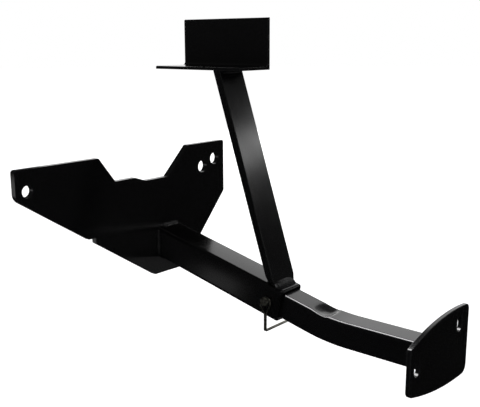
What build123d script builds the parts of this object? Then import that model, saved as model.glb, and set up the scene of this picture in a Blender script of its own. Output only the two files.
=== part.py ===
from build123d import *
import os
from math import cos, radians, sin, tan

# Frame-mounted tie-down bracket: a frame plate carries a sloping receiver tube,
# a bent insert tube slides into it and is locked by a wire-lock pin, and a
# leaning post carries an angle saddle above the receiver.
#
# Frame: origin on the frame plate's mounting face, on the receiver's centre line.
# +X points outboard, away from the vehicle frame; +Y runs along it; +Z is up.

INCH = 25.4

# --- frame plate ---------------------------------------------------------
PLATE_T = 3 / 8 * INCH
PLATE_TOP = 154.1            # height of both ears' top edges
PLATE_BOTTOM = -53.3
FRONT_EAR_Y = -289.0         # outer edge of the long ear
FRONT_EAR_LOW_Z = 112.0      # where its outer edge meets the lower slope
LOWER_SLOPE = -0.6505        # fall of the lower edge per unit towards the rear
REAR_EAR_Y = 136.5           # outer edge of the short ear
REAR_EAR_LOW_Z = 63.8
BOTTOM_REAR_Y = 32.3         # rear end of the level bottom edge
WAIST_FRONT_Z = 114.6        # two levels of the waist between the ears
WAIST_REAR_Z = 107.0
WAIST_YS = (-143.3, -112.5, -72.0, -50.0, -2.2, 46.5)   # its corners, front to rear
FRONT_HOLE = (-269.7, 122.4)
FRONT_HOLE_D = 11 / 16 * INCH
REAR_HOLES = [(82.0, 113.5), (112.5, 124.0)]
REAR_HOLE_D = 13 / 16 * INCH
RELIEF_Y = -155.0            # small relief step in the lower edge
RELIEF_Z = 33.2
BLANK_CORNER = 4.0           # usual radius of the cut plate's corners
LONG_EAR_CORNER = 15.0

# --- receiver tube -------------------------------------------------------
SLOPE = 12.5                 # degrees down, going outboard
RECEIVER = 2 * INCH
RECEIVER_CORNER = 6.0
RECEIVER_INNER_CORNER = 2.0
RECEIVER_LENGTH = 256.0      # along its axis, from the frame plate
SLIDE_GAP = 0.4              # between insert and receiver, each side

# --- insert tube ---------------------------------------------------------
INSERT = 1.5 * INCH
INSERT_CORNER = 3.2
INSERT_INNER_CORNER = 1.0
INSERT_WALL = 3 / 16 * INCH
INSERT_START = 130.0         # inner end, along the receiver axis
BEND_AT = 338.0              # where the two straight centre lines meet
BEND_RADIUS = 300.0
DENT_RADIUS = 56.0           # crush dent left by the bending die
DENT_DEPTH = 2.4
DENT_AT = 325.0              # along the receiver axis

# --- end plate -----------------------------------------------------------
END_T = 1 / 4 * INCH
END_X = PLATE_T + 492.0      # outer face
SLOT_W = 9 / 16 * INCH
SLOT_L = 7 / 8 * INCH
SLOTS = [(56.5, 28.2), (-60.5, 4.3)]   # from the tube's centre
END_LEFT_Y = -78.0
END_RIGHT_Y = 84.0
END_TOP = (33.5, 50.6, 49.6)           # heights at the left end, middle and right end
END_BOTTOM = (-29.0, -45.8, -49.0)
END_CORNERS = (3.0, 8.0, 9.0, 12.0)    # top left, top right, bottom left, bottom right

# --- post and saddle -----------------------------------------------------
LEAN = 18.6                  # degrees, top leaning inboard
POST_T = 1 / 2 * INCH
POST_W = 2 * INCH
POST_OUTER_X = PLATE_T + 234.0   # outboard face at the height of the origin
FOOT_CLIP = (4.0, 10.0)      # snipped lower corners, across and up
SADDLE_X = (PLATE_T + 4.0, PLATE_T + 177.0)
SADDLE_FRONT = -25.4
SADDLE_Z = 282.6             # underside
SADDLE_DEPTH = 2.75 * INCH
SADDLE_HEIGHT = 3 * INCH
SADDLE_T = 3 / 16 * INCH
SADDLE_FILLET = 5.0

# --- lock pin and wire bail ----------------------------------------------
PIN_AT = 233.0               # along the receiver axis
PIN_D = 1 / 2 * INCH
RECEIVER_HOLE_D = 13.5
INSERT_HOLE_D = 14.3
HEAD_D = 14.0
HEAD_T = 6.5
HEAD_GAP = 0.4
HEAD_CHAMFER = 1.0
TIP_Y = 36.0
TIP_CHAMFER = 2.0
WIRE_D = 2.4
WIRE_HOLE_D = 3.1
BAIL_TILT = 35.0             # the pin is turned, so its cross hole is not level
BAIL_DROP = 45.6             # from pin axis to the wire under the tube
BAIL_SWEEP = 0.9             # sideways offset of the hanging pair
BAIL_BEND = 2.0              # bend radius of the wire
SHOULDER = (9.8, -4.0)       # where the upper strand passes the head
PAIR_GAP = 0.4               # between the two hanging wires
STUB = 4.0                   # how far each end reaches into the head, and stands out of it
MEET_Z = -20.0               # where the two strands come together, from the pin axis
LOOP_R = 8.0
LOOP_Y = TIP_Y + 2.2         # the loop hangs just past the tip
LOOP_NECK_Z = -17.0
LOOP_WAIST = 0.6             # heights of the loop's corners, as shares of its radius
LOOP_CROWN = 0.7

# --- welds ---------------------------------------------------------------
WELD_LEG = 5.0
END_WELD_LEG = 4.0
FOOT_WELD_LEG = 8.0          # the heavy run on the post's outboard side
SADDLE_WELD_LEG = 4.5
WELD_CROWN = 0.58            # bulge of a bead's face, as a share of both legs
WELD_INTO_CORNER = 1.5       # how far a run goes on past the flat of a side
SADDLE_WELD_SHORT = 3.0      # each end of the saddle runs stops short by this


# --- shared geometry -----------------------------------------------------
AXIS = Vector(cos(radians(SLOPE)), 0, -sin(radians(SLOPE)))
UP = Vector(sin(radians(SLOPE)), 0, cos(radians(SLOPE)))
Y = Vector(0, 1, 0)
Z = Vector(0, 0, 1)
OUT = Vector(1, 0, 0)
ROOT = Vector(PLATE_T, 0, 0)
BEND = ROOT + AXIS * BEND_AT
TUBE_Z = BEND.Z                          # centre line of the level outer run
PIN = ROOT + AXIS * PIN_AT
BORE = INSERT + 2 * SLIDE_GAP            # inside of the receiver
HALF = RECEIVER / 2


def receiver_plane(distance):
    """Cross-section plane of the sloping run: local x is +Y, local y is UP."""
    return Plane(origin=ROOT + AXIS * distance, x_dir=Y, z_dir=AXIS)


def yz_plane(x):
    """Plane facing outboard: local x is +Y, local y is +Z."""
    return Plane(origin=(x, 0, 0), x_dir=Y, z_dir=(1, 0, 0))


def cross_hole(distance, diameter):
    """Cylinder along Y through the tubes at a distance along their axis."""
    where = Plane(origin=ROOT + AXIS * distance, z_dir=Y)
    return where * Cylinder(diameter / 2, 3 * RECEIVER)


def round_path(points, radius):
    """Polyline in space with every inner corner rounded by a tangent arc."""
    spots = [Vector(*p) if isinstance(p, tuple) else p for p in points]
    edges = []
    start = spots[0]
    for before, corner, after in zip(spots, spots[1:], spots[2:]):
        incoming = (before - corner).normalized()
        outgoing = (after - corner).normalized()
        half_angle = radians(incoming.get_angle(outgoing)) / 2
        reach = radius / tan(half_angle)
        bisector = (incoming + outgoing).normalized()
        middle = corner + bisector * (radius / sin(half_angle) - radius)
        edges.append(Line(start, corner + incoming * reach))
        edges.append(ThreePointArc(corner + incoming * reach, middle, corner + outgoing * reach))
        start = corner + outgoing * reach
    edges.append(Line(start, spots[-1]))
    return Wire(edges)


def rod(path, diameter):
    """Round wire swept along a path."""
    section = Plane(origin=path @ 0, z_dir=path % 0) * Circle(diameter / 2)
    return sweep(section, path=path)


def bead(corner, along_a, along_b, seam, length, leg=WELD_LEG):
    """Convex fillet weld in the corner of two faces, centred on a point."""
    side_a = along_a.normalized() * leg
    side_b = along_b.normalized() * leg
    start = corner - seam.normalized() * (length / 2)
    crown = start + (side_a + side_b) * WELD_CROWN
    outline = Wire([
        Line(start, start + side_a),
        ThreePointArc(start + side_a, crown, start + side_b),
        Line(start + side_b, start),
    ])
    return Solid.extrude(Face(outline), seam.normalized() * length)


# --- parts ---------------------------------------------------------------
def make_frame_plate():
    """Flat plate with a long front ear, a short rear ear and a waist between."""
    def lower_edge(y):
        return FRONT_EAR_LOW_Z + LOWER_SLOPE * (y - FRONT_EAR_Y)

    def lower_edge_y(z):
        return FRONT_EAR_Y + (z - FRONT_EAR_LOW_Z) / LOWER_SLOPE

    slope_start, front_floor, step_start, step_end, rear_floor, slope_end = WAIST_YS
    outline = [
        (FRONT_EAR_Y, PLATE_TOP),
        (FRONT_EAR_Y, FRONT_EAR_LOW_Z),
        (lower_edge_y(RELIEF_Z), RELIEF_Z),
        (RELIEF_Y, RELIEF_Z),
        (RELIEF_Y, lower_edge(RELIEF_Y)),
        (lower_edge_y(PLATE_BOTTOM), PLATE_BOTTOM),
        (BOTTOM_REAR_Y, PLATE_BOTTOM),
        (REAR_EAR_Y, REAR_EAR_LOW_Z),
        (REAR_EAR_Y, PLATE_TOP),
        (slope_end, PLATE_TOP),
        (rear_floor, WAIST_REAR_Z),
        (step_end, WAIST_REAR_Z),
        (step_start, WAIST_FRONT_Z),
        (front_floor, WAIST_FRONT_Z),
        (slope_start, PLATE_TOP),
    ]
    radii = {index: BLANK_CORNER for index in (0, 5, 6, 7, 8, 9, 14)}
    radii[1] = LONG_EAR_CORNER
    face = make_face(Polyline(*outline, close=True))
    for index, radius in radii.items():
        spot = Vector(*outline[index], 0)
        nearest = face.vertices().sort_by_distance(spot)[0]
        face = fillet(nearest, radius)
    holes = [Pos(y, z) * Circle(REAR_HOLE_D / 2) for y, z in REAR_HOLES]
    holes.append(Pos(*FRONT_HOLE) * Circle(FRONT_HOLE_D / 2))
    return extrude(yz_plane(0) * (face - holes), amount=PLATE_T)


def make_receiver_tube():
    """Square tube, mitred against the plate and cross-drilled for the pin."""
    ring = RectangleRounded(RECEIVER, RECEIVER, RECEIVER_CORNER)
    ring -= RectangleRounded(BORE, BORE, RECEIVER_INNER_CORNER)
    overrun = HALF
    tube = extrude(receiver_plane(-overrun) * ring, amount=RECEIVER_LENGTH + overrun)
    tube = split(tube, bisect_by=yz_plane(PLATE_T), keep=Keep.TOP)
    return tube - cross_hole(PIN_AT, RECEIVER_HOLE_D)


def make_insert_tube():
    """Square tube bent up to level, with the dent of the bending die on top."""
    tangent = BEND_RADIUS * tan(radians(SLOPE / 2))
    start = ROOT + AXIS * INSERT_START
    bend_in = BEND - AXIS * tangent
    bend_out = BEND + Vector(tangent, 0, 0)
    bend_mid = BEND + (Z + UP).normalized() * (BEND_RADIUS / cos(radians(SLOPE / 2)) - BEND_RADIUS)
    finish = Vector(END_X - END_T, 0, TUBE_Z)
    path = Wire([Line(start, bend_in), ThreePointArc(bend_in, bend_mid, bend_out), Line(bend_out, finish)])

    section = receiver_plane(INSERT_START)
    inside = INSERT - 2 * INSERT_WALL
    outer = sweep(section * RectangleRounded(INSERT, INSERT, INSERT_CORNER), path=path)
    inner = sweep(section * RectangleRounded(inside, inside, INSERT_INNER_CORNER), path=path)
    top = ROOT + AXIS * DENT_AT + UP * (INSERT / 2)
    dent = Pos(top + UP * (DENT_RADIUS - DENT_DEPTH)) * Sphere(DENT_RADIUS)
    return outer - inner - dent - cross_hole(PIN_AT, INSERT_HOLE_D)


def make_end_plate():
    """Plate with straight ends, bowed top and bottom edges and two slots."""
    left, right = END_LEFT_Y, END_RIGHT_Y
    corners = [(left, END_TOP[0]), (right, END_TOP[2]), (left, END_BOTTOM[0]), (right, END_BOTTOM[2])]
    top_left, top_right, low_left, low_right = corners
    outline = [
        ThreePointArc(top_left, (0, END_TOP[1]), top_right),
        Line(top_right, low_right),
        ThreePointArc(low_left, (0, END_BOTTOM[1]), low_right),
        Line(low_left, top_left),
    ]
    face = make_face(outline)
    for (y, z), radius in zip(corners, END_CORNERS):
        nearest = face.vertices().sort_by_distance(Vector(y, z, 0))[0]
        face = fillet(nearest, radius)
    for y, z in SLOTS:
        face -= Pos(y, z) * SlotOverall(SLOT_L, SLOT_W, rotation=90)
    plane = Plane(origin=(END_X - END_T, 0, TUBE_Z), x_dir=Y, z_dir=(1, 0, 0))
    return extrude(plane * face, amount=END_T)


def make_support_post():
    """Flat bar leaning inboard, cut level on top and to the receiver below."""
    drop, reach = RECEIVER, POST_W / 2
    across, up = FOOT_CLIP
    wide = POST_T / cos(radians(LEAN))
    shift = tan(radians(LEAN))

    def outer_x(z):
        return POST_OUTER_X - shift * z

    side = Polyline(
        (outer_x(-drop) - wide, -drop), (outer_x(-drop), -drop),
        (outer_x(SADDLE_Z), SADDLE_Z), (outer_x(SADDLE_Z) - wide, SADDLE_Z),
        close=True,
    )
    bar = extrude(Plane.XZ * make_face(side), amount=reach, both=True)
    on_receiver = Plane(origin=ROOT + UP * HALF, x_dir=AXIS, z_dir=UP)
    bar = split(bar, bisect_by=on_receiver, keep=Keep.TOP)
    for sign in (-1, 1):
        clip = make_face(Polyline((sign * reach, up), (sign * reach, -1), (sign * (reach - across), -1),
                                  (sign * (reach - across), 0), close=True))
        level = Plane(origin=ROOT + UP * HALF, x_dir=Y, z_dir=AXIS)
        bar -= extrude(level * clip, amount=2 * RECEIVER_LENGTH)
    return bar


def make_saddle():
    """Steel angle, level leg forward of an upright leg, filleted inside."""
    low, high = SADDLE_X
    back = SADDLE_FRONT + SADDLE_DEPTH
    toe = SADDLE_T / 2
    outline = [
        (SADDLE_FRONT, SADDLE_Z),
        (back, SADDLE_Z),
        (back, SADDLE_Z + SADDLE_HEIGHT),
        (back - SADDLE_T, SADDLE_Z + SADDLE_HEIGHT),
        (back - SADDLE_T, SADDLE_Z + SADDLE_T),
        (SADDLE_FRONT, SADDLE_Z + SADDLE_T),
    ]
    radii = {3: toe, 4: SADDLE_FILLET, 5: toe}
    face = make_face(Polyline(*outline, close=True))
    for index, radius in radii.items():
        nearest = face.vertices().sort_by_distance(Vector(*outline[index], 0))[0]
        face = fillet(nearest, radius)
    return extrude(yz_plane(low) * face, amount=high - low)


def cross_axis():
    """Direction of the wire's cross hole through the pin head."""
    return Vector(cos(radians(BAIL_TILT)), 0, sin(radians(BAIL_TILT)))


def make_lock_pin():
    """Round pin with a cross-drilled head and a chamfered tip."""
    head_y = -(HALF + HEAD_GAP)
    shank = Plane(origin=(PIN.X, head_y, PIN.Z), z_dir=Y) * extrude(Circle(PIN_D / 2), TIP_Y - head_y)
    shank = chamfer(shank.edges().sort_by(Axis.Y)[-1], TIP_CHAMFER)
    head = Plane(origin=(PIN.X, head_y, PIN.Z), z_dir=-Y) * extrude(Circle(HEAD_D / 2), HEAD_T)
    head = chamfer(head.edges().sort_by(Axis.Y)[0], HEAD_CHAMFER)
    hole = Plane(origin=bail_hinge(), z_dir=cross_axis()) * Cylinder(WIRE_HOLE_D / 2, 2 * HEAD_D)
    return shank + head - hole


def bail_hinge():
    """Centre of the cross hole in the pin head."""
    return Vector(PIN.X, -(HALF + HEAD_GAP + HEAD_T / 2), PIN.Z)


def make_wire_bail():
    """One wire: out of the head, down as a pair, under the tube, loop at the tip."""
    hinge = bail_hinge()
    arm = cross_axis()
    pair = (WIRE_D + PAIR_GAP) / 2

    def spot(dx, y, dz):
        return Vector(PIN.X + dx, y, PIN.Z + dz)

    def strand(sign):
        # From the cross hole to the bottom of the loop at the tip.
        column = BAIL_SWEEP + sign * pair
        shoulder = [spot(SHOULDER[0], hinge.Y, SHOULDER[1])] if sign > 0 else []
        return [
            hinge + arm * (sign * STUB),
            hinge + arm * (sign * (HEAD_D / 2 + STUB)),
            *shoulder,
            spot(column, hinge.Y, MEET_Z),
            spot(column, hinge.Y, -BAIL_DROP),
            spot(column, LOOP_Y, -BAIL_DROP),
            spot(column, LOOP_Y, LOOP_NECK_Z),
        ]

    loop = [
        spot(BAIL_SWEEP + LOOP_R, LOOP_Y, -LOOP_R * LOOP_WAIST),
        spot(LOOP_R, LOOP_Y, LOOP_R * LOOP_CROWN),
        spot(-LOOP_R, LOOP_Y, LOOP_R * LOOP_CROWN),
        spot(BAIL_SWEEP - LOOP_R, LOOP_Y, -LOOP_R * LOOP_WAIST),
    ]
    points = strand(1) + loop + strand(-1)[::-1]
    return rod(round_path(points, BAIL_BEND), WIRE_D)


def make_welds():
    """Fillet welds by name, one per run."""
    welds = {}
    # Receiver to plate, around all four sides of the tube's flats.
    flat = RECEIVER - 2 * RECEIVER_CORNER + 2 * WELD_INTO_CORNER
    height = HALF / cos(radians(SLOPE))
    for side, spot, away, along, seam, length in (
        ("top", ROOT + Z * height, Z, AXIS, Y, flat),
        ("bottom", ROOT - Z * height, -Z, AXIS, Y, flat),
        ("front", ROOT - Y * HALF, OUT, -Y, Z, flat / cos(radians(SLOPE))),
        ("rear", ROOT + Y * HALF, OUT, Y, Z, flat / cos(radians(SLOPE))),
    ):
        welds["receiver_weld_" + side] = bead(spot, away, along, seam, length)

    # Insert tube to end plate, the same way.
    tube_end = Vector(END_X - END_T, 0, TUBE_Z)
    run = INSERT - 2 * INSERT_CORNER + 2 * WELD_INTO_CORNER
    for side, away, seam in (("top", Z, Y), ("bottom", -Z, Y), ("front", -Y, Z), ("rear", Y, Z)):
        spot = tube_end + away * (INSERT / 2)
        welds["end_plate_weld_" + side] = bead(spot, away, -OUT, seam, run, END_WELD_LEG)

    # Post to receiver, then saddle to post, across both wide faces of the post.
    rise = tan(radians(SLOPE))
    shift = tan(radians(LEAN))
    wide = POST_T / cos(radians(LEAN))
    lean_up = Vector(-sin(radians(LEAN)), 0, cos(radians(LEAN)))
    roof = height + rise * PLATE_T           # receiver's top face, carried back to x = 0
    for side, behind, sign, leg in (
        ("outboard", 0.0, 1, FOOT_WELD_LEG),
        ("inboard", wide, -1, WELD_LEG),
    ):
        foot_x = (POST_OUTER_X - behind - shift * roof) / (1 - shift * rise)
        foot = Vector(foot_x, 0, roof - rise * foot_x)
        welds["post_foot_weld_" + side] = bead(foot, lean_up, AXIS * sign, Y, flat, leg)
        head = Vector(POST_OUTER_X - behind - shift * SADDLE_Z, 0, SADDLE_Z)
        length = POST_W - 2 * SADDLE_WELD_SHORT
        welds["saddle_weld_" + side] = bead(head, -lean_up, OUT * sign, Y, length, SADDLE_WELD_LEG)
    return welds


parts = {
    "frame_plate": make_frame_plate(),
    "receiver_tube": make_receiver_tube(),
    "insert_tube": make_insert_tube(),
    "end_plate": make_end_plate(),
    "support_post": make_support_post(),
    "support_saddle": make_saddle(),
    "lock_pin": make_lock_pin(),
    "wire_bail": make_wire_bail(),
}
parts.update(make_welds())

os.makedirs("parts", exist_ok=True)
for node, solid in parts.items():
    export_step(solid, f"parts/{node}.step")
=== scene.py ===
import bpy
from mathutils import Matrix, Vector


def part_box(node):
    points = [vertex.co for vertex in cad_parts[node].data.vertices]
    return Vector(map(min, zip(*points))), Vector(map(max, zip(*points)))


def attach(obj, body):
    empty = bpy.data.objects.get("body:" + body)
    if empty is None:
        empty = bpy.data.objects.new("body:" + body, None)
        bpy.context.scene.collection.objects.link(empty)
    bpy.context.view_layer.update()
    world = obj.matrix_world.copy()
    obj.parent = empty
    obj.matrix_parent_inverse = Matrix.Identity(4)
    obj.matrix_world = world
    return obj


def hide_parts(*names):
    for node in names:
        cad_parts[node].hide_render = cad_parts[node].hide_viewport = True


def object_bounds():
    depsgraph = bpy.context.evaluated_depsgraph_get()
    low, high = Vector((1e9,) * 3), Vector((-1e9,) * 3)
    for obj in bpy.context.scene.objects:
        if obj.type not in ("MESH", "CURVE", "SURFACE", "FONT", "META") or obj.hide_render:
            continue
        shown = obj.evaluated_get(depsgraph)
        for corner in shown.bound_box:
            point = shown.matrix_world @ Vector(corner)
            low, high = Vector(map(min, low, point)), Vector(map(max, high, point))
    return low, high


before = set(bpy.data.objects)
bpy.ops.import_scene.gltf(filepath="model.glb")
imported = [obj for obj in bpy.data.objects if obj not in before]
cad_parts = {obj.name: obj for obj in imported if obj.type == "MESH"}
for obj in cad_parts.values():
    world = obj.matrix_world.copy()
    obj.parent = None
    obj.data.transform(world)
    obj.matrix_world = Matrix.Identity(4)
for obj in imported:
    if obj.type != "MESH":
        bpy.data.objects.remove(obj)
CAD_BOX = [list(corner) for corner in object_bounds()]

import logging
import math
from dataclasses import dataclass, field
from enum import Enum
from typing import Any, Dict, List, Optional, Sequence, Tuple

import bmesh
import bpy
import numpy as np
from mathutils import Matrix, Vector

# A frame-mounted tie-down bracket in gloss black powder coat: a bolted frame plate,
# a sloping receiver tube with a bent insert tube and its slotted end plate, and a
# leaning post with an angle saddle. Metres throughout, in the frame of the CAD model.

MM = 0.001
INCH = 0.0254
SKIN_STEP = 1.6 * MM                 # spacing of points along a tube's flats
CRISP_TUBE = 50.0                    # edges of tubes sharper than this, in degrees, stay crisp
CRISP_STOCK = 32.0                   # the same for cut plate and bar, which are eased there
LOG = logging.getLogger("bracket")

Array = np.ndarray
Point = Tuple[float, float, float]


# --- small helpers ---------------------------------------------------------
def linear(hex_colour: str) -> Tuple[float, float, float, float]:
    """Turn an sRGB hex colour into linear RGBA.

    Args:
        hex_colour: "#rrggbb".

    Returns:
        The linear colour with full alpha.
    """
    channels = np.array([int(hex_colour[i:i + 2], 16) for i in (1, 3, 5)]) / 255.0
    curve = np.where(channels <= 0.04045, channels / 12.92, ((channels + 0.055) / 1.055) ** 2.4)
    return (float(curve[0]), float(curve[1]), float(curve[2]), 1.0)


def add_node(tree: bpy.types.NodeTree, kind: str, settings: Optional[Dict[str, Any]] = None,
             inputs: Optional[Dict[Any, Any]] = None) -> bpy.types.Node:
    """Add a node, set its properties and fill or link its inputs.

    Args:
        tree: The node tree that gets the node.
        kind: Blender's name of the node type.
        settings: Properties of the node by name.
        inputs: Values, or sockets to link from, by input name or index.

    Returns:
        The new node.
    """
    node = tree.nodes.new(kind)
    for key, value in (settings or {}).items():
        setattr(node, key, value)
    for key, value in (inputs or {}).items():
        if isinstance(value, bpy.types.NodeSocket):
            tree.links.new(value, node.inputs[key])
        else:
            node.inputs[key].default_value = value
    return node


def mesh_from_arrays(name: str, points: Array, faces: Sequence[Sequence[int]],
                     smooth_angle: float = 40.0) -> bpy.types.Object:
    """Put arrays of points and faces into a new linked object.

    Args:
        name: Name of the object and its mesh.
        points: (n, 3) array of places in metres.
        faces: Corner indices of each face, facing outwards.
        smooth_angle: Edges sharper than this, in degrees, stay crisp.

    Returns:
        The new object, at the origin.
    """
    mesh = bpy.data.meshes.new(name)
    mesh.from_pydata(points.tolist(), [], [list(map(int, face)) for face in faces])
    mesh.validate()
    mesh.polygons.foreach_set("use_smooth", np.ones(len(mesh.polygons), bool))
    mesh.set_sharp_from_angle(angle=math.radians(smooth_angle))
    mesh.update()
    piece = bpy.data.objects.new(name, mesh)
    bpy.context.scene.collection.objects.link(piece)
    return piece


def grid_faces(rows: int, columns: int, flip: bool = False) -> Array:
    """Quads of a stack of rings of points, stored ring after ring.

    Formula: quad (i, j) joins points (i, j), (i, j+1), (i+1, j+1) and (i+1, j), where
    j+1 wraps round to the ring's first point.

    Args:
        rows: Number of rings.
        columns: Number of points in a ring.
        flip: Whether to turn the faces over.

    Returns:
        (m, 4) array of corner indices.
    """
    row, column = np.meshgrid(np.arange(rows - 1), np.arange(columns), indexing="ij")
    beside = (column + 1) % columns
    quads = np.stack([row * columns + column, row * columns + beside,
                      (row + 1) * columns + beside, (row + 1) * columns + column], -1)
    quads = quads.reshape(-1, 4)
    return quads[:, ::-1] if flip else quads


def rounded_square(side: float, corner: float, step: float, corner_points: int = 7) -> Array:
    """Closed outline of a square with round corners, centred on the origin.

    Formula: each corner is a quarter circle of the given radius, and each flat is cut
    into equal lengths no longer than the step.

    Args:
        side: Width of the square.
        corner: Corner radius.
        step: Longest spacing of points along a flat.
        corner_points: Points on each quarter circle.

    Returns:
        (n, 2) array, anticlockwise.
    """
    reach = side / 2 - corner
    turn = np.linspace(0, np.pi / 2, corner_points)
    count = max(2, int(np.ceil(2 * reach / step)))
    along = np.linspace(0, 1, count + 1)[1:-1, None]
    pieces = []
    for quarter, (sx, sy) in enumerate(((1, 1), (-1, 1), (-1, -1), (1, -1))):
        angle = turn + quarter * np.pi / 2
        arc = np.stack([sx * reach + corner * np.cos(angle), sy * reach + corner * np.sin(angle)], -1)
        nx, ny = ((-1, 1), (-1, -1), (1, -1), (1, 1))[quarter]
        start_angle = (quarter + 1) * np.pi / 2
        following = np.array([nx * reach + corner * np.cos(start_angle),
                              ny * reach + corner * np.sin(start_angle)])
        flat = arc[-1] * (1 - along) + following * along
        pieces += [arc, flat]
    return np.concatenate(pieces)


# --- finishes --------------------------------------------------------------
class Sheen(Enum):
    """How the powder coat came out of the oven."""

    FLAT_STOCK = "flat_stock"      # rolled plate and bar, smooth under the coat
    TUBE = "tube"                  # drawn tube, faint lengthwise waviness
    WELD = "weld"                  # coat over weld ripples, slightly duller
    THIN_EDGE = "thin_edge"        # where the coat pulls away from a cut edge


@dataclass(frozen=True)
class PowderCoat:
    """Gloss black polyester powder coat, sprayed and baked on steel.

    It gives the eye a deep black with soft, slightly mottled highlights, because the
    melted powder keeps an orange-peel skin a few millimetres across.
    """

    sheen: Sheen
    colour: str = "#060607"
    haze: str = "#121214"            # dust that was baked in or has settled
    roughness: float = 0.16
    roughness_swing: float = 0.02
    peel_mm: float = 3.2             # orange-peel cell
    peel_height_mm: float = 0.004
    wave_mm: float = 46.0            # slow unevenness of the steel below
    wave_height_mm: float = 0.04
    grit_mm: float = 0.8             # specks, drawn coarser than real ones so that they show
    grit_from: float = 0.66          # noise level where a speck begins
    grit_to: float = 0.74            # and where it is full
    grit_roughness: float = 0.05     # how much duller a speck is
    ior: float = 1.5

    def material(self) -> bpy.types.Material:
        """Build the node material.

        Returns:
            The finished material.
        """
        material = bpy.data.materials.new("powder_coat_baked_" + self.sheen.value)
        material.use_nodes = True
        tree = material.node_tree
        tree.nodes.clear()
        place = add_node(tree, "ShaderNodeTexCoord").outputs["Object"]
        wave = add_node(tree, "ShaderNodeTexNoise", None,
                        {"Vector": place, "Scale": 1000 / self.wave_mm, "Detail": 2.0})
        peel = add_node(tree, "ShaderNodeTexNoise", None,
                        {"Vector": place, "Scale": 1000 / self.peel_mm, "Detail": 1.5,
                         "Roughness": 0.4})
        grit = add_node(tree, "ShaderNodeTexNoise", None,
                        {"Vector": place, "Scale": 1000 / self.grit_mm, "Detail": 1.0})
        specks = add_node(tree, "ShaderNodeMapRange", None,
                          {"Value": grit.outputs["Fac"], "From Min": self.grit_from,
                           "From Max": self.grit_to})
        clouds = add_node(tree, "ShaderNodeMapRange", None,
                          {"Value": wave.outputs["Fac"], "From Min": 0.35, "From Max": 0.7})
        dusty = add_node(tree, "ShaderNodeMath", {"operation": "MULTIPLY"},
                         {0: specks.outputs["Result"], 1: clouds.outputs["Result"]})
        tone = add_node(tree, "ShaderNodeMix", {"data_type": "RGBA"},
                        {"Factor": dusty.outputs[0], 6: linear(self.colour), 7: linear(self.haze)})
        gloss = add_node(tree, "ShaderNodeMapRange", None,
                         {"Value": wave.outputs["Fac"], "From Min": 0.3, "From Max": 0.7,
                          "To Min": self.roughness - self.roughness_swing,
                          "To Max": self.roughness + self.roughness_swing})
        worn = add_node(tree, "ShaderNodeMath", {"operation": "MULTIPLY_ADD"},
                        {0: specks.outputs["Result"], 1: self.grit_roughness,
                         2: gloss.outputs["Result"]})
        slow = add_node(tree, "ShaderNodeBump", None,
                        {"Height": wave.outputs["Fac"], "Distance": self.wave_height_mm * MM})
        skin = add_node(tree, "ShaderNodeBump", None,
                        {"Height": peel.outputs["Fac"], "Distance": self.peel_height_mm * MM,
                         "Normal": slow.outputs["Normal"]})
        shader = add_node(tree, "ShaderNodeBsdfPrincipled", None,
                          {"Base Color": tone.outputs[2], "Roughness": worn.outputs[0],
                           "IOR": self.ior, "Metallic": 0.0, "Normal": skin.outputs["Normal"]})
        add_node(tree, "ShaderNodeOutputMaterial", None, {"Surface": shader.outputs["BSDF"]})
        return material


@dataclass(frozen=True)
class ZincPlate:
    """Zinc electroplate with a dark olive passivation, oiled, on turned or drawn steel.

    It gives the eye a dim metal with broken reflections and a faint green-brown cast.
    """

    name: str
    colour: str = "#aeada2"
    stain: str = "#5e5c4e"
    roughness: float = 0.34
    smoother: float = 0.08           # how much glossier and duller the blotches go
    duller: float = 0.1
    blotch_mm: float = 4.0           # passivation blotches
    scratch_mm: float = 0.5          # handling marks, drawn coarser than real ones
    scratch_height_mm: float = 0.006

    def material(self) -> bpy.types.Material:
        """Build the node material.

        Returns:
            The finished material.
        """
        material = bpy.data.materials.new(self.name)
        material.use_nodes = True
        tree = material.node_tree
        tree.nodes.clear()
        place = add_node(tree, "ShaderNodeTexCoord").outputs["Object"]
        blotch = add_node(tree, "ShaderNodeTexNoise", None,
                          {"Vector": place, "Scale": 1000 / self.blotch_mm, "Detail": 3.0})
        marks = add_node(tree, "ShaderNodeTexNoise", None,
                         {"Vector": place, "Scale": 1000 / self.scratch_mm, "Detail": 2.0})
        mask = add_node(tree, "ShaderNodeMapRange", None,
                        {"Value": blotch.outputs["Fac"], "From Min": 0.38, "From Max": 0.66})
        tone = add_node(tree, "ShaderNodeMix", {"data_type": "RGBA"},
                        {"Factor": mask.outputs["Result"], 6: linear(self.colour),
                         7: linear(self.stain)})
        gloss = add_node(tree, "ShaderNodeMapRange", None,
                         {"Value": blotch.outputs["Fac"], "From Min": 0.3, "From Max": 0.7,
                          "To Min": self.roughness - self.smoother,
                          "To Max": self.roughness + self.duller})
        bump = add_node(tree, "ShaderNodeBump", None,
                        {"Height": marks.outputs["Fac"], "Distance": self.scratch_height_mm * MM})
        shader = add_node(tree, "ShaderNodeBsdfPrincipled", None,
                          {"Base Color": tone.outputs[2], "Roughness": gloss.outputs["Result"],
                           "Metallic": 1.0, "Normal": bump.outputs["Normal"]})
        add_node(tree, "ShaderNodeOutputMaterial", None, {"Surface": shader.outputs["BSDF"]})
        return material


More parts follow.
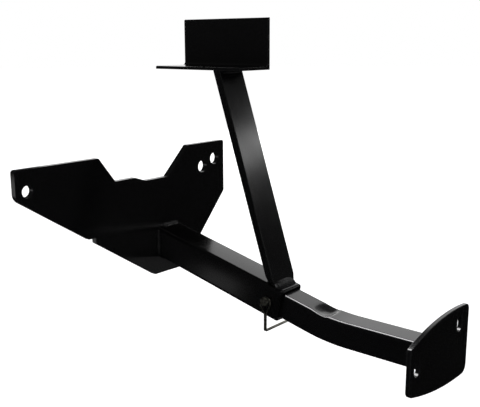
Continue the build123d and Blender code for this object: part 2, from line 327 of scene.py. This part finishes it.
class Finishes:
    """Makes each finish once and hands it out by name."""

    def __init__(self) -> None:
        """Build every material."""
        self.coat = {
            Sheen.FLAT_STOCK: PowderCoat(Sheen.FLAT_STOCK).material(),
            Sheen.TUBE: PowderCoat(Sheen.TUBE, wave_mm=60.0, wave_height_mm=0.06).material(),
            Sheen.WELD: PowderCoat(Sheen.WELD, roughness=0.2, peel_mm=1.8).material(),
            Sheen.THIN_EDGE: PowderCoat(Sheen.THIN_EDGE, colour="#151516", haze="#3a3a3c",
                                        roughness=0.2, wave_mm=9.0).material(),
        }
        self.pin = ZincPlate("zinc_plate_turned_pin").material()
        self.wire = ZincPlate("zinc_plate_drawn_wire", blotch_mm=6.0, roughness=0.34).material()

    def dress(self, piece: bpy.types.Object, *sheens: Sheen) -> None:
        """Give a piece its powder coat.

        Args:
            piece: The piece to dress.
            sheens: One finish per material slot.
        """
        piece.data.materials.clear()
        for sheen in sheens:
            piece.data.materials.append(self.coat[sheen])


# --- sub-assemblies ---------------------------------------------------------
@dataclass
class Tubes:
    """Where the tube lines run: the sloping receiver line and the level outer run."""

    slope: float = math.radians(12.5)
    bend_at: float = 338.0 * MM
    bend_radius: float = 300.0 * MM
    insert: float = 1.5 * INCH
    receiver: float = 2.0 * INCH
    pin_at: float = 233.0 * MM

    def root(self) -> Array:
        """Point where the receiver's centre line meets the frame plate's outer face."""
        return np.array([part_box("frame_plate")[1].x, 0.0, 0.0])

    def axis(self) -> Array:
        """Unit vector down the slope, going outboard."""
        return np.array([math.cos(self.slope), 0.0, -math.sin(self.slope)])

    def up(self) -> Array:
        """Unit vector square to the slope, upwards."""
        return np.array([math.sin(self.slope), 0.0, math.cos(self.slope)])

    def level(self) -> float:
        """Height of the level run's centre line."""
        return float((self.root() + self.axis() * self.bend_at)[2])


class EasedStock:
    """Cut plate and bar whose sharp edges are eased as a mill or a file leaves them."""

    JOIN: float = 0.002 * MM         # corners nearer than this are one corner
    FLAT: float = 0.3                # triangles within this, in degrees, are one face
    STEPS: int = 3                   # faces across a rounded edge

    def __init__(self, finishes: Finishes) -> None:
        """Keep the finishes.

        Args:
            finishes: Where the materials come from.
        """
        self.finishes = finishes

    def build(self, node: str, name: str, body: str, ease: float, sheen: Sheen) -> bpy.types.Object:
        """Copy a CAD node, join its triangles, round its edges and dress it.

        Args:
            node: The CAD node that the piece stands for.
            name: Name of the piece.
            body: The body that it rides on.
            ease: Width of the rounding, in metres.
            sheen: Finish of its faces.

        Returns:
            The finished piece.
        """
        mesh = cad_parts[node].data.copy()
        mesh.name = name
        work = bmesh.new()
        work.from_mesh(mesh)
        bmesh.ops.remove_doubles(work, verts=work.verts, dist=self.JOIN)
        bmesh.ops.dissolve_limit(work, angle_limit=math.radians(self.FLAT), verts=work.verts,
                                 edges=work.edges)
        work.to_mesh(mesh)
        work.free()
        piece = bpy.data.objects.new(name, mesh)
        bpy.context.scene.collection.objects.link(piece)
        self.finishes.dress(piece, sheen, Sheen.THIN_EDGE)
        mesh.polygons.foreach_set("material_index", np.zeros(len(mesh.polygons), np.int32))
        mesh.polygons.foreach_set("use_smooth", np.ones(len(mesh.polygons), bool))
        mesh.set_sharp_from_angle(angle=math.radians(CRISP_STOCK))
        bevel = piece.modifiers.new("eased_edges", "BEVEL")
        bevel.width = ease
        bevel.segments = self.STEPS
        bevel.limit_method = "ANGLE"
        bevel.angle_limit = math.radians(CRISP_STOCK)
        bevel.harden_normals = True
        bevel.material = 1
        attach(piece, body)
        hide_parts(node)
        LOG.info("%s: %d faces before easing", name, len(mesh.polygons))
        return piece


def match_count(outline: Array, count: int) -> Array:
    """Resample a closed outline to a number of points, evenly by its own index.

    Args:
        outline: (n, 2) closed outline.
        count: Number of points wanted.

    Returns:
        (count, 2) outline.
    """
    closed = np.vstack([outline, outline[:1]])
    wanted = np.linspace(0, len(outline), count, endpoint=False)
    known = np.arange(len(closed))
    return np.stack([np.interp(wanted, known, closed[:, axis]) for axis in (0, 1)], -1)


def pipe_mesh(name: str, shell: Array, bore: Array,
              smooth_angle: float = CRISP_TUBE) -> bpy.types.Object:
    """Join an outer skin and a bore into one closed wall.

    Args:
        name: Name of the piece.
        shell: (rows, columns, 3) outer skin, rings in order along the tube.
        bore: The same for the bore.
        smooth_angle: Edges sharper than this, in degrees, stay crisp.

    Returns:
        The new object.
    """
    rows, columns = shell.shape[:2]
    base = rows * columns
    ring = np.arange(columns)
    after = (ring + 1) % columns
    last = (rows - 1) * columns
    faces = np.concatenate([
        grid_faces(rows, columns),
        grid_faces(rows, columns, flip=True) + base,
        np.stack([ring, base + ring, base + after, after], -1),
        np.stack([last + ring, last + after, base + last + after, base + last + ring], -1),
    ])
    points = np.concatenate([shell.reshape(-1, 3), bore.reshape(-1, 3)])
    piece = mesh_from_arrays(name, points, faces, smooth_angle)
    face_outwards(piece)
    return piece


def drill_across(piece: bpy.types.Object, where: Array, diameter: float, reach: float) -> None:
    """Cut a round hole along Y through a piece.

    Args:
        piece: The piece, changed in place.
        where: A point on the hole's axis.
        diameter: Of the hole.
        reach: How far the drill goes each way.
    """
    sides = 64
    turn = np.linspace(0, 2 * np.pi, sides, endpoint=False)
    x, z = where[0] + diameter / 2 * np.cos(turn), where[2] + diameter / 2 * np.sin(turn)
    near = np.stack([x, np.full(sides, -reach), z], -1)
    far = np.stack([x, np.full(sides, reach), z], -1)
    faces = grid_faces(2, sides, flip=True).tolist()
    faces += [list(range(sides)), list(range(sides, 2 * sides))[::-1]]
    cutter = mesh_from_arrays("drill", np.concatenate([near, far]), faces)
    face_outwards(cutter)
    cut = piece.modifiers.new("cross_hole", "BOOLEAN")
    cut.operation = "DIFFERENCE"
    cut.object = cutter
    cut.solver = "EXACT"
    bpy.context.view_layer.update()
    graph = bpy.context.evaluated_depsgraph_get()
    result = bpy.data.meshes.new_from_object(piece.evaluated_get(graph))
    piece.modifiers.clear()
    piece.data = result
    bpy.data.objects.remove(cutter)
    result.polygons.foreach_set("use_smooth", np.ones(len(result.polygons), bool))
    result.set_sharp_from_angle(angle=math.radians(CRISP_TUBE))


def face_outwards(piece: bpy.types.Object) -> None:
    """Turn every face of a closed mesh outwards.

    Args:
        piece: The piece, changed in place.
    """
    work = bmesh.new()
    work.from_mesh(piece.data)
    bmesh.ops.recalc_face_normals(work, faces=work.faces)
    work.to_mesh(piece.data)
    work.free()


@dataclass
class ReceiverTube:
    """Square tube mitred to the frame plate, its faces a little crowned as rolled tube is."""

    tubes: Tubes
    corner: float = 6.0 * MM
    crown: float = 0.30 * MM         # how far the middle of a face stands above its edges
    bore: float = 1.5 * INCH + 0.8 * MM
    bore_corner: float = 2.0 * MM
    length: float = 256.0 * MM
    lip: float = 2.2 * MM            # rounding of the open end
    hole: float = 13.5 * MM
    rings: int = 60                  # along the straight part
    lip_rings: int = 5
    crisp: float = 40.0              # degrees, below the mitre's own angle

    def outer(self) -> Array:
        """Outline of the outside, across and high.

        Formula: a rounded square whose flats are drawn in by crown * (t / flat)^2, where
        t is the distance from the middle of the flat, so no point leaves the square.

        Returns:
            (n, 2) outline.
        """
        outline = rounded_square(self.tubes.receiver, self.corner, SKIN_STEP)
        flat = self.tubes.receiver / 2 - self.corner
        away = np.minimum(np.abs(outline) / flat, 1.0) ** 2
        drawn_in = self.crown * away[:, ::-1] * (np.abs(outline) > flat)
        return outline - np.sign(outline) * drawn_in

    def build(self, finishes: Finishes) -> bpy.types.Object:
        """Make the tube: skin, bore, mitre, rounded lip and the pin's cross hole.

        Formula: point = root + s * axis + across * Y + high * up. At the plate s is
        chosen point by point so that the end lies in the plate's face. At the open end
        the last rings are scaled in along a quarter circle of the lip's radius, and the
        bore's are scaled out.

        Args:
            finishes: Where the materials come from.

        Returns:
            The finished piece.
        """
        tubes = self.tubes
        root, axis, up = tubes.root(), tubes.axis(), tubes.up()
        outer = self.outer()
        inner = match_count(rounded_square(self.bore, self.bore_corner, SKIN_STEP), len(outer))
        turn = np.linspace(0, np.pi / 2, self.lip_rings)
        inset = self.lip * (1 - np.cos(turn))
        straight = self.length - self.lip
        stations = np.concatenate([np.linspace(0, straight, self.rings),
                                   straight + self.lip * np.sin(turn[1:])])
        draws = np.concatenate([np.zeros(self.rings), inset[1:]])

        def skin(outline: Array, sign: float) -> Array:
            """Carry an outline down the slope, scaled in or out at the lip.

            Args:
                outline: (n, 2) outline, across and high.
                sign: 1 to scale it in, -1 to scale it out.

            Returns:
                (rows, n, 3) array of points.
            """
            shape = outline[None] * (1 - sign * draws[:, None, None] / np.abs(outline).max())
            mitre = -shape[..., 1] * math.tan(tubes.slope)
            along = mitre + (stations[:, None] / self.length) * (self.length - mitre)
            across = np.array([0.0, 1.0, 0.0])
            return root + along[..., None] * axis + shape[..., :1] * across + shape[..., 1:] * up

        piece = pipe_mesh("receiver_tube_rolled", skin(outer, 1.0), skin(inner, -1.0),
                          self.crisp)
        drill_across(piece, root + axis * tubes.pin_at, self.hole, tubes.receiver)
        finishes.dress(piece, Sheen.TUBE)
        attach(piece, "frame")
        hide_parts("receiver_tube")
        LOG.info("receiver_tube_rolled: %d faces", len(piece.data.polygons))
        return piece


@dataclass
class InsertTube:
    """Square tube bent to level, with a press mark where the bending die crushed its top."""

    tubes: Tubes
    corner: float = 3.2 * MM
    wall: float = 3 / 16 * INCH
    inner_corner: float = 1.0 * MM
    starts_at: float = 130.0 * MM
    step: float = 2.0 * MM
    arc_rings: int = 34              # round the bend
    dent_at: float = 329.0 * MM
    dent_side: float = -1.0 * MM
    dent_depth: float = 4.2 * MM
    dent_inboard: float = 32.0 * MM  # the gentle slope towards the receiver
    dent_outboard: float = 12.0 * MM  # the short steep slope beyond it
    dent_across: float = 30.0 * MM
    hole: float = 14.3 * MM

    def path(self) -> Tuple[Array, Array, Array]:
        """Centre line with its upward normals and the distance along the slope.

        Formula: a straight run down the slope, an arc of the bend radius that turns
        through the slope's angle, and a level run, each cut into equal steps.

        Returns:
            Points, unit normals and distances, row by row.
        """
        tubes = self.tubes
        tangent = tubes.bend_radius * math.tan(tubes.slope / 2)
        root, axis, up = tubes.root(), tubes.axis(), tubes.up()
        end_x = float(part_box("end_plate")[0].x)
        first = np.arange(self.starts_at, tubes.bend_at - tangent, self.step)
        run = root + first[:, None] * axis
        run_up = np.repeat(up[None], len(first), 0)
        turn = np.linspace(0, tubes.slope, self.arc_rings)
        centre = root + (tubes.bend_at - tangent) * axis + tubes.bend_radius * up
        tilt = tubes.slope - turn
        arc_up = np.stack([np.sin(tilt), np.zeros_like(tilt), np.cos(tilt)], -1)
        arc = centre - tubes.bend_radius * arc_up
        begin = float(arc[-1, 0])
        count = int((end_x - begin) / self.step)
        level_x = np.linspace(begin, end_x, count)[1:]
        height = np.full_like(level_x, arc[-1, 2])
        level = np.stack([level_x, np.zeros_like(level_x), height], -1)
        level_up = np.repeat(np.array([[0.0, 0.0, 1.0]]), len(level_x), 0)
        points = np.concatenate([run, arc, level])
        ups = np.concatenate([run_up, arc_up, level_up])
        return points, ups, (points - root) @ axis

    def skin(self, outline: Array, dent: bool) -> Array:
        """Carry an outline along the path.

        Formula: point = centre + across * Y + high * up. On the outer skin the top
        sinks by depth * cos(pi/2 * r)^2, where r is the distance from the dent's middle
        over its reach, which is long inboard and short outboard. Down the round corners
        the sinking fades to nothing in step with the height.

        Args:
            outline: (n, 2) outline, across and high.
            dent: Whether the dent is pressed into it.

        Returns:
            (rows, n, 3) array of points.
        """
        centres, ups, along = self.path()
        side = np.array([0.0, 1.0, 0.0])
        points = (centres[:, None] + outline[None, :, :1] * side + outline[None, :, 1:] * ups[:, None])
        if dent:
            ahead = along[:, None] - self.dent_at
            reach = np.where(ahead < 0, self.dent_inboard, self.dent_outboard)
            away = np.hypot(ahead / reach, (outline[None, :, 0] - self.dent_side) / self.dent_across)
            sink = self.dent_depth * np.cos(np.pi / 2 * np.clip(away, 0, 1)) ** 2
            corner_foot = self.tubes.insert / 2 - self.corner
            share = np.clip((outline[None, :, 1] - corner_foot) / self.corner, 0, 1)
            points = points - (sink * share)[..., None] * ups[:, None]
        return points

    def build(self, finishes: Finishes) -> bpy.types.Object:
        """Make the tube: outer skin, bore, end rings and the pin's cross hole.

        Args:
            finishes: Where the materials come from.

        Returns:
            The finished piece.
        """
        side = self.tubes.insert
        outer = rounded_square(side, self.corner, SKIN_STEP)
        bore = rounded_square(side - 2 * self.wall, self.inner_corner, SKIN_STEP)
        inner = match_count(bore, len(outer))
        piece = pipe_mesh("insert_tube_bent", self.skin(outer, True), self.skin(inner, False))
        where = self.tubes.root() + self.tubes.axis() * self.tubes.pin_at
        drill_across(piece, where, self.hole, self.tubes.insert)
        finishes.dress(piece, Sheen.TUBE)
        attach(piece, "insert")
        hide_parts("insert_tube")
        LOG.info("insert_tube_bent: %d faces", len(piece.data.polygons))
        return piece


@dataclass
class WeldRun:
    """One fillet weld: a convex bead with the stacked ripples of its freezing pools."""

    node: str
    body: str
    corner: Array                    # middle of the corner that it fills
    side_a: Array                    # unit vectors along the two faces
    side_b: Array
    seam: Array
    length: float
    leg: float
    ripple: float = 2.6 * MM         # spacing of the pools
    swell: float = 0.34 * MM         # height of a ripple
    wander: float = 0.35 * MM        # slow unevenness of the leg
    slow: float = 17.0 * MM          # lengths of the unevenness along the seam
    quick: float = 7.3 * MM
    knob: float = 4.1 * MM           # and of the knobs on the bead
    row_step: float = 0.45 * MM
    fewest_rows: int = 24
    points_round: int = 15
    crown: float = 0.16              # how far the bead bulges past flat, over its leg
    fill: float = 0.98               # keeps the ripples inside the leg
    end_run: float = 1.8             # length of an end's taper, in legs
    end_height: float = 0.2          # height left at the very end
    crisp: float = 60.0              # degrees
    seed: int = 1
    sunk: float = 0.05 * MM          # how deep the root goes into the joint

    def build(self, finishes: Finishes) -> bpy.types.Object:
        """Make the bead.

        Formula: at distance s along the seam and angle v from face a to face b, the
        radius is the leg times the crown's bulge, swelled by a skewed wave of s whose
        crests lag in the middle of the bead, and drawn in at both ends as a quarter
        ellipse. The ring closes along the two faces to the sunk corner.

        Args:
            finishes: Where the materials come from.

        Returns:
            The finished piece.
        """
        rng = np.random.default_rng(self.seed)
        rows = max(self.fewest_rows, int(self.length / self.row_step))
        s = np.linspace(0, 1, rows)[:, None]
        v = np.linspace(0, np.pi / 2, self.points_round)[None, :]
        phase = rng.uniform(0, 1, 3)
        distance = s * self.length
        uneven = (np.sin(2 * np.pi * (distance / self.slow + phase[0]))
                  + 0.6 * np.sin(2 * np.pi * (distance / self.quick + phase[1])))
        lag = 0.32 * np.sin(2 * v) ** 2
        beat = distance / self.ripple + phase[2] + lag + 0.12 * uneven
        wave = 1 - np.mod(beat, 1.0) ** 1.6
        bulge = 1 / (np.cos(v) + np.sin(v)) * (1 + self.crown * np.sin(2 * v))
        middle = np.sin(2 * v) ** 0.7
        knobs = (np.sin(2 * np.pi * (distance / self.knob + phase[1] + v))
                 * np.sin(3 * v + 9 * phase[0]))
        rough = self.swell * wave + self.wander * (0.5 * uneven + 0.4 * knobs)
        reach = self.leg * bulge * self.fill + rough * middle
        edge = self.end_run * self.leg
        near_end = np.clip(np.minimum(distance, self.length - distance) / edge, 0, 1)
        rounding = np.sqrt(np.clip(1 - (1 - near_end) ** 2, 0, 1))
        taper = self.end_height + (1 - self.end_height) * rounding
        reach = reach * taper
        seam = self.seam / np.linalg.norm(self.seam)
        start = self.corner - seam * (self.length / 2)
        spine = start + distance * seam
        bead = (spine[:, None] + (reach * np.cos(v))[..., None] * self.side_a
                + (reach * np.sin(v))[..., None] * self.side_b)
        root = (spine - self.sunk * (self.side_a + self.side_b))[:, None]
        rings = np.concatenate([bead, root], 1)
        columns = rings.shape[1]
        faces = grid_faces(rows, columns).tolist()
        faces += [list(range(columns))[::-1], list(range((rows - 1) * columns, rows * columns))]
        piece = mesh_from_arrays(self.node + "_bead", rings.reshape(-1, 3), faces, self.crisp)
        face_outwards(piece)
        finishes.dress(piece, Sheen.WELD)
        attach(piece, self.body)
        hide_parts(self.node)
        LOG.info("%s: %d faces", piece.name, len(piece.data.polygons))
        return piece


@dataclass
class Welding:
    """Every weld run of the bracket, placed from the tubes and the post."""

    tubes: Tubes
    leg: float = 5.0 * MM
    end_leg: float = 4.0 * MM
    saddle_leg: float = 4.5 * MM
    foot_leg: float = 9.0 * MM           # the heavy run on the post's outboard side
    foot_shift: float = 2.0 * MM         # half of how far the foot runs go on over the near corner
    foot_sunk: float = 1.5 * MM          # their root, so that no gap shows at the corner
    saddle_short: float = 6.0 * MM       # the saddle's runs stop short of the post's width
    receiver_corner: float = 6.0 * MM
    insert_corner: float = 3.2 * MM
    past_flat: float = 1.5 * MM
    lean: float = math.radians(18.6)
    post_thickness: float = 0.5 * INCH
    post_width: float = 2.0 * INCH
    post_outer_x: float = 234.0 * MM     # from the plate's face, at the height of the origin

    def runs(self) -> List[WeldRun]:
        """List the runs.

        Returns:
            One entry per weld node.
        """
        tubes = self.tubes
        root, axis = tubes.root(), tubes.axis()
        x, y, z = np.eye(3)
        half = tubes.receiver / 2
        height = half / math.cos(tubes.slope)
        flat = tubes.receiver - 2 * self.receiver_corner + 2 * self.past_flat
        upright = flat / math.cos(tubes.slope)
        runs = [
            WeldRun("receiver_weld_top", "frame", root + z * height, z, axis, y, flat, self.leg,
                    seed=3),
            WeldRun("receiver_weld_bottom", "frame", root - z * height, -z, axis, y, flat, self.leg,
                    seed=4),
            WeldRun("receiver_weld_front", "frame", root - y * half, x, -y, z, upright, self.leg,
                    seed=5),
            WeldRun("receiver_weld_rear", "frame", root + y * half, x, y, z, upright, self.leg,
                    seed=6),
        ]
        end = np.array([float(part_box("end_plate")[0].x), 0.0, tubes.level()])
        run = tubes.insert - 2 * self.insert_corner + 2 * self.past_flat
        for seed, (side, away, seam) in enumerate(
                (("top", z, y), ("bottom", -z, y), ("front", -y, z), ("rear", y, z)), 7):
            runs.append(WeldRun("end_plate_weld_" + side, "insert", end + away * tubes.insert / 2,
                                away, -x, seam, run, self.end_leg, seed=seed))
        rise, shift = math.tan(tubes.slope), math.tan(self.lean)
        wide = self.post_thickness / math.cos(self.lean)
        lean_up = np.array([-math.sin(self.lean), 0.0, math.cos(self.lean)])
        roof = height + rise * root[0]
        saddle_z = float(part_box("support_saddle")[0].z)
        outer = root[0] + self.post_outer_x
        sides = (("outboard", 0.0, 1, self.foot_leg), ("inboard", wide, -1, self.leg))
        for seed, (side, behind, sign, leg) in enumerate(sides, 11):
            foot_x = (outer - behind - shift * roof) / (1 - shift * rise)
            foot = np.array([foot_x, 0.0, roof - rise * foot_x])
            runs.append(WeldRun("post_foot_weld_" + side, "frame", foot - y * self.foot_shift, lean_up,
                                axis * sign, y, flat + 2 * self.foot_shift, leg, seed=seed,
                                sunk=self.foot_sunk))
            head = np.array([outer - behind - shift * saddle_z, 0.0, saddle_z])
            runs.append(WeldRun("saddle_weld_" + side, "frame", head, -lean_up, x * sign, y,
                                self.post_width - self.saddle_short, self.saddle_leg,
                                seed=seed + 4))
        return runs


class LockPin:
    """The lock pin and its wire bail, which keep their CAD shapes."""

    def dress(self, finishes: Finishes) -> None:
        """Give the pin and the wire their plating.

        Args:
            finishes: Where the materials come from.
        """
        for node, material in (("lock_pin", finishes.pin), ("wire_bail", finishes.wire)):
            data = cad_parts[node].data
            data.materials.clear()
            data.materials.append(material)
            LOG.info("%s: plated", node)


# --- studio -----------------------------------------------------------------
@dataclass(frozen=True)
class Softbox:
    """A rectangular soft light, placed by direction from the middle of the bracket."""

    name: str
    azimuth: float                   # degrees from +X towards +Y
    elevation: float
    width: float                     # metres, level
    height: float
    radiance: float                  # as seen in a perfect mirror
    distance: float = 3.2
    only: Tuple[str, ...] = ()       # pieces that it reaches, where flags keep it off the rest
    turn: float = 0.0                # degrees about its own line of sight
    shaded_by: Tuple[str, ...] = ()  # pieces that may shade it, where named

    def build(self, target: Array) -> bpy.types.Object:
        """Make the light and aim it.

        Args:
            target: The point that it faces.

        Returns:
            The light's object.
        """
        azimuth, elevation = math.radians(self.azimuth), math.radians(self.elevation)
        way = np.array([math.cos(elevation) * math.cos(azimuth),
                        math.cos(elevation) * math.sin(azimuth), math.sin(elevation)])
        light = bpy.data.lights.new(self.name, "AREA")
        light.shape = "RECTANGLE"
        light.size, light.size_y = self.width, self.height
        light.energy = self.radiance * math.pi * self.width * self.height
        holder = bpy.data.objects.new(self.name, light)
        bpy.context.scene.collection.objects.link(holder)
        place = Vector(target + way * self.distance)
        facing = Vector(way).to_track_quat("Z", "Y").to_matrix().to_4x4()
        turned = Matrix.Rotation(math.radians(self.turn), 4, "Z")
        holder.matrix_world = Matrix.Translation(place) @ facing @ turned
        holder.visible_camera = False
        if self.only:
            holder.light_linking.receiver_collection = self.gather("_reaches", self.only)
        if self.shaded_by:
            holder.light_linking.blocker_collection = self.gather("_shaded_by", self.shaded_by)
        return holder

    def gather(self, ending: str, pieces: Sequence[str]) -> bpy.types.Collection:
        """Collect pieces for light linking.

        Args:
            ending: What the collection's name ends with.
            pieces: Names of the pieces.

        Returns:
            The collection.
        """
        collection = bpy.data.collections.new(self.name + ending)
        for piece in pieces:
            collection.objects.link(bpy.data.objects[piece])
        return collection


@dataclass
class Studio:
    """Camera, light table and softboxes."""

    focal_ratio: float = 758.229 / 480       # focal length over the picture's width
    sensor: float = 36.0
    eye: Point = (890.498 * MM, -859.113 * MM, 325.998 * MM)   # from the plate's outer face
    yaw: float = 130.559
    pitch: float = -12.157
    roll: float = -0.24
    table_drop: float = 0.06                 # light table below the lowest point
    table_radius: float = 14.0
    table_rings: int = 13
    table_sides: int = 96
    softboxes: List[Softbox] = field(default_factory=lambda: [
        Softbox("back_wall", 128.0, 16.0, 2.6, 2.8, 1.15),
        Softbox("post_strip", 52.0, 16.7, 1.6, 0.15, 4.4),
        Softbox("overhead", -30.0, 72.0, 2.2, 1.6, 1.0),
        Softbox("front_fill", -48.0, -14.0, 1.6, 0.8, 0.6),
        Softbox("low_side", 220.7, -26.3, 0.12, 0.20, 0.42, 1.29, turn=-33.0),
        Softbox("low_front", 51.6, -28.3, 0.34, 0.18, 0.17, 1.09, only=("frame_plate_cut",),
                turn=-14.0, shaded_by=("frame_plate_cut",)),
        Softbox("weld_light", 76.0, 36.0, 1.0, 0.7, 0.9,
                only=("post_foot_weld_outboard_bead", "receiver_weld_top_bead")),
        Softbox("dent_glint", 132.0, -3.0, 1.2, 0.35, 4.0, only=("insert_tube_bent",)),
        Softbox("rear_low", 135.0, -16.0, 1.8, 1.0, 0.9),
        Softbox("yard_low", 225.0, -16.0, 1.6, 1.0, 0.8, only=("frame_plate_cut", "end_plate_cut")),
        Softbox("far_low", 45.0, -16.0, 1.6, 1.0, 0.8,
                only=("receiver_tube_rolled", "insert_tube_bent", "support_post_bar")),
        Softbox("front_high", -45.0, 18.0, 1.8, 0.9, 0.7, only=("insert_tube_bent",)),
        Softbox("back_side", 96.0, 25.0, 1.1, 1.3, 0.22),
        Softbox("edge_light", 185.0, 64.0, 1.9, 1.8, 14.0, 2.0,
                only=("insert_tube_bent", "end_plate_cut", "post_foot_weld_outboard_bead")),
    ])

    def camera(self) -> None:
        """Create the camera from its solved place, yaw, pitch and roll."""
        data = bpy.data.cameras.new("camera")
        data.sensor_width = self.sensor
        data.lens = self.focal_ratio * self.sensor
        holder = bpy.data.objects.new("camera", data)
        bpy.context.scene.collection.objects.link(holder)
        yaw, pitch, roll = (math.radians(a) for a in (self.yaw, self.pitch, self.roll))
        ahead = Vector((math.cos(pitch) * math.cos(yaw), math.cos(pitch) * math.sin(yaw),
                        math.sin(pitch)))
        right = ahead.cross(Vector((0, 0, 1))).normalized()
        up = right.cross(ahead)
        across = right * math.cos(roll) + up * math.sin(roll)
        upward = -right * math.sin(roll) + up * math.cos(roll)
        matrix = Matrix((across, upward, -ahead)).transposed().to_4x4()
        matrix.translation = Vector(self.eye) + Vector((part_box("frame_plate")[1].x, 0, 0))
        holder.matrix_world = matrix
        bpy.context.scene.camera = holder

    def table(self) -> None:
        """Lay the pale light table under the bracket: a disc that glows softly.

        Formula: ring i of n has the radius (i/n)^2 times the disc's.
        """
        low, high = (np.array(corner) for corner in CAD_BOX)
        rings, sides = self.table_rings, self.table_sides
        radius = np.linspace(0.0, 1.0, rings + 1)[1:, None] ** 2 * self.table_radius
        turn = np.linspace(0, 2 * np.pi, sides, endpoint=False)[None, :]
        middle = (low + high) / 2
        level = low[2] - self.table_drop
        disc = np.stack([middle[0] + radius * np.cos(turn), middle[1] + radius * np.sin(turn),
                         np.full((rings, sides), level)], -1)
        faces = grid_faces(rings, sides, flip=True).tolist() + [list(range(sides))]
        table = mesh_from_arrays("light_table", disc.reshape(-1, 3), faces)
        material = bpy.data.materials.new("opal_acrylic_sheet")
        material.use_nodes = True
        shader = material.node_tree.nodes["Principled BSDF"]
        shader.inputs["Base Color"].default_value = linear("#f2f2f2")
        shader.inputs["Roughness"].default_value = 0.6
        shader.inputs["Emission Color"].default_value = linear("#ffffff")
        shader.inputs["Emission Strength"].default_value = 1.0
        table.data.materials.append(material)
        table.visible_glossy = False
        table.visible_shadow = False

    def surroundings(self) -> None:
        """A white backdrop for the eye and a dim, even room for the reflections."""
        world = bpy.data.worlds.new("studio_room")
        bpy.context.scene.world = world
        world.use_nodes = True
        tree = world.node_tree
        tree.nodes.clear()
        path = add_node(tree, "ShaderNodeLightPath")
        way = add_node(tree, "ShaderNodeTexCoord").outputs["Generated"]
        rise = add_node(tree, "ShaderNodeSeparateXYZ", None, {"Vector": way})
        shade = add_node(tree, "ShaderNodeMapRange", None,
                         {"Value": rise.outputs["Z"], "From Min": -0.35, "From Max": 0.1,
                          "To Min": 0.01, "To Max": 0.05})
        room = add_node(tree, "ShaderNodeBackground", None,
                        {"Color": linear("#ffffff"), "Strength": shade.outputs["Result"]})
        wall = add_node(tree, "ShaderNodeBackground", None,
                        {"Color": linear("#ffffff"), "Strength": 1.0})
        mix = add_node(tree, "ShaderNodeMixShader", None,
                       {0: path.outputs["Is Camera Ray"], 1: room.outputs[0], 2: wall.outputs[0]})
        add_node(tree, "ShaderNodeOutputWorld", None, {"Surface": mix.outputs[0]})

    def build(self) -> None:
        """Set up everything that isn't the object."""
        bpy.context.scene.view_settings.view_transform = "Standard"
        self.camera()
        self.table()
        self.surroundings()
        low, high = (np.array(corner) for corner in CAD_BOX)
        for softbox in self.softboxes:
            softbox.build((low + high) / 2)
            LOG.info("%s: lit", softbox.name)


def main() -> None:
    """Build the bracket and its studio."""
    logging.basicConfig(level=logging.INFO, format="%(name)s %(message)s")
    finishes = Finishes()
    tubes = Tubes()
    stock = EasedStock(finishes)
    for node, name, body, ease in (
            ("frame_plate", "frame_plate_cut", "frame", 0.9 * MM),
            ("support_post", "support_post_bar", "frame", 1.0 * MM),
            ("support_saddle", "support_saddle_angle", "frame", 0.7 * MM),
            ("end_plate", "end_plate_cut", "insert", 0.9 * MM)):
        stock.build(node, name, body, ease, Sheen.FLAT_STOCK)
    ReceiverTube(tubes).build(finishes)
    InsertTube(tubes).build(finishes)
    for run in Welding(tubes).runs():
        run.build(finishes)
    LockPin().dress(finishes)
    Studio().build()


if __name__ == "__main__":
    main()
